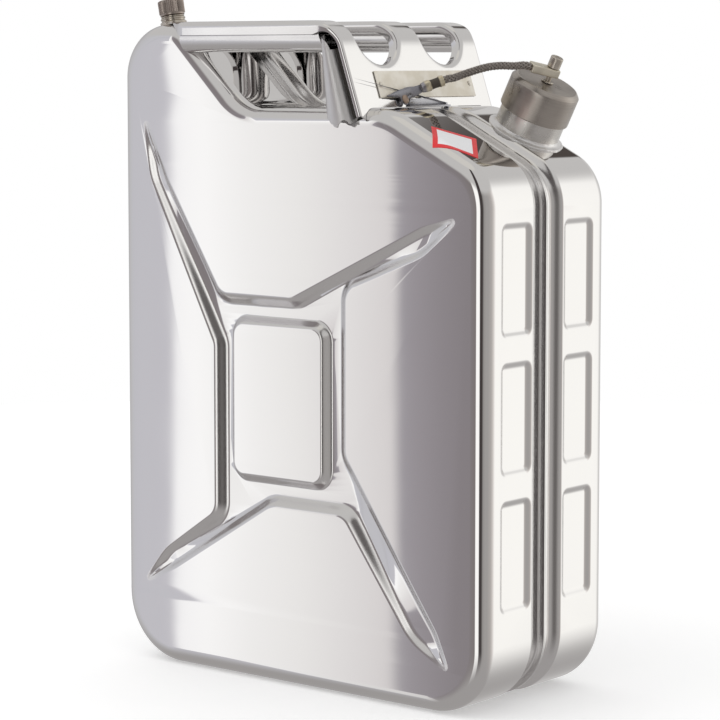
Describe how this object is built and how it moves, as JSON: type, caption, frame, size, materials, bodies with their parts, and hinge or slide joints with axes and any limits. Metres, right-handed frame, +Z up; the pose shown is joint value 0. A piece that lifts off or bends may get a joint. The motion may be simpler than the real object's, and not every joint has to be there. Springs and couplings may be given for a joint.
{
  "type": "fuel can",
  "caption": "Upright steel liquid can with pressed sides, seam channel, three-bar carrying handle, leaning neck with a tethered screw cap and relief valve, and a vent screw.",
  "frame": {"origin": "middle of the underside, under the middle of the body's length and thickness", "axes": "+X towards the narrow side with the neck, +Y across the can towards the neck's half, +Z up"},
  "size_m": [0.345, 0.168, 0.5055],
  "materials": {
    "polished_steel": "mirror polished stainless steel",
    "brushed_steel": "turned and brushed",
    "flattened_wire": "flattened wire rope, dull",
    "braided_wire": "braided wire",
    "zinc": "pale plated",
    "knurled_metal": "knurled, darkened",
    "ivory_plate": "matt ivory",
    "black_rubber": "matt"
  },
  "bodies": {
    "can": {"front_shell": "polished_steel", "back_shell": "polished_steel", "handle_sheet": "polished_steel", "handle_tube_front": "polished_steel", "handle_tube_centre": "polished_steel", "handle_tube_back": "polished_steel", "handle_leg_front": "polished_steel", "handle_leg_back": "polished_steel", "seam_saddle": "polished_steel", "name_plate": "ivory_plate", "name_rivet_front": "ivory_plate", "name_rivet_back": "ivory_plate", "tether_rivet": "knurled_metal", "tether_tongue": "flattened_wire", "tether_ferrule": "zinc", "neck": "polished_steel", "flame_arrester": "polished_steel", "vent_boss": "polished_steel"},
    "tether_eye": {"tether_block": "zinc", "tether_cable": "braided_wire"},
    "cap": {"screw_cap": "brushed_steel", "cap_gasket": "black_rubber", "cap_bolt": "polished_steel", "cap_washer": "polished_steel", "valve_cup": "polished_steel", "valve_spring": "brushed_steel"},
    "relief_disc": {"valve_disc": "brushed_steel"},
    "vent_washer": {"vent_seal": "black_rubber"},
    "vent_knob": {"vent_screw": "knurled_metal"}
  },
  "joints": [
    {"name": "cap_rise", "type": "slide", "parent": "can", "child": "tether_eye", "axis": [0.454, 0, 0.891], "range_m": [0, 0.0141]},
    {"name": "cap_turn", "type": "hinge", "parent": "tether_eye", "child": "cap", "pos_m": [0.1213, 0.043, 0.40609], "axis": [0.454, 0, 0.891], "range_deg": [0, 1260]},
    {"name": "relief_valve", "type": "slide", "parent": "cap", "child": "relief_disc", "axis": [0.454, 0, 0.891], "range_m": [0, 0.0025], "stiffness_N_per_m": 500, "springref_m": -0.004, "deforming": ["valve_spring"]},
    {"name": "vent_rise", "type": "slide", "parent": "can", "child": "vent_washer", "axis": [-0.1875, 0, 0.9823], "range_m": [0, 0.00876]},
    {"name": "vent_turn", "type": "hinge", "parent": "vent_washer", "child": "vent_knob", "pos_m": [-0.14, -0.05, 0.48469], "axis": [-0.1875, 0, 0.9823], "range_deg": [0, 2520]}
  ],
  "couplings": [
    {"joint": "cap_rise", "follows": "cap_turn", "m_per_rad": 0.00063662},
    {"joint": "vent_rise", "follows": "vent_turn", "m_per_rad": 0.00019894}
  ]
}
